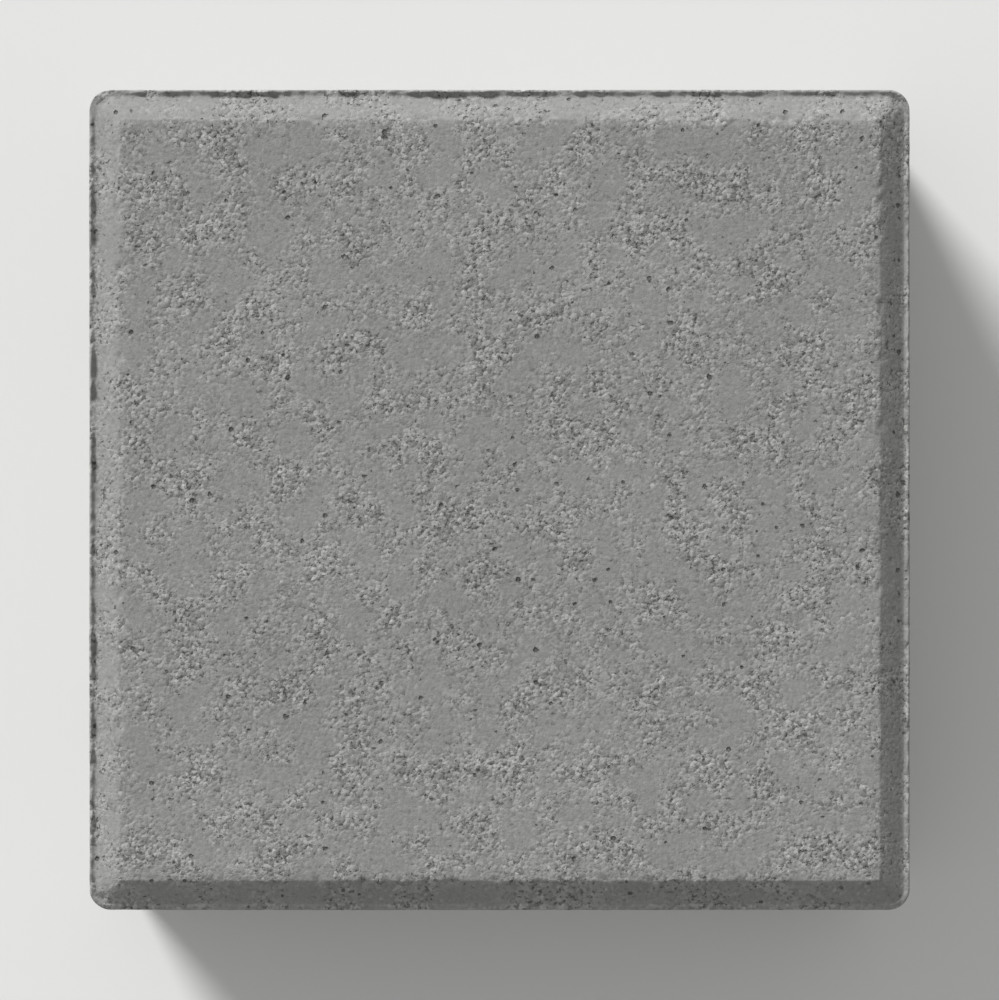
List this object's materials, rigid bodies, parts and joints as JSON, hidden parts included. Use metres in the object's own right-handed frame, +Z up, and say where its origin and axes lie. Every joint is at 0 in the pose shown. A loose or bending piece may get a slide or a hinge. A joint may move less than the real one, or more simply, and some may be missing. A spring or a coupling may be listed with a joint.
{
  "type": "concrete paving stone",
  "caption": "Square grey concrete paving stone with bevelled top edges, rounded corners and side spacer nibs, laid in rows to surface paths, yards and drives.",
  "frame": {"origin": "middle of the bed face, on the plane that the stone lies on", "axes": "+Z up through the walking face, +X and +Y square to the sides, with +Y towards the top of the picture"},
  "size_m": [0.2, 0.2, 0.06],
  "materials": {
    "concrete": "matt, fine-grained and lightly pitted"
  },
  "bodies": {
    "root": {"paving_stone": "concrete"}
  },
  "joints": []
}
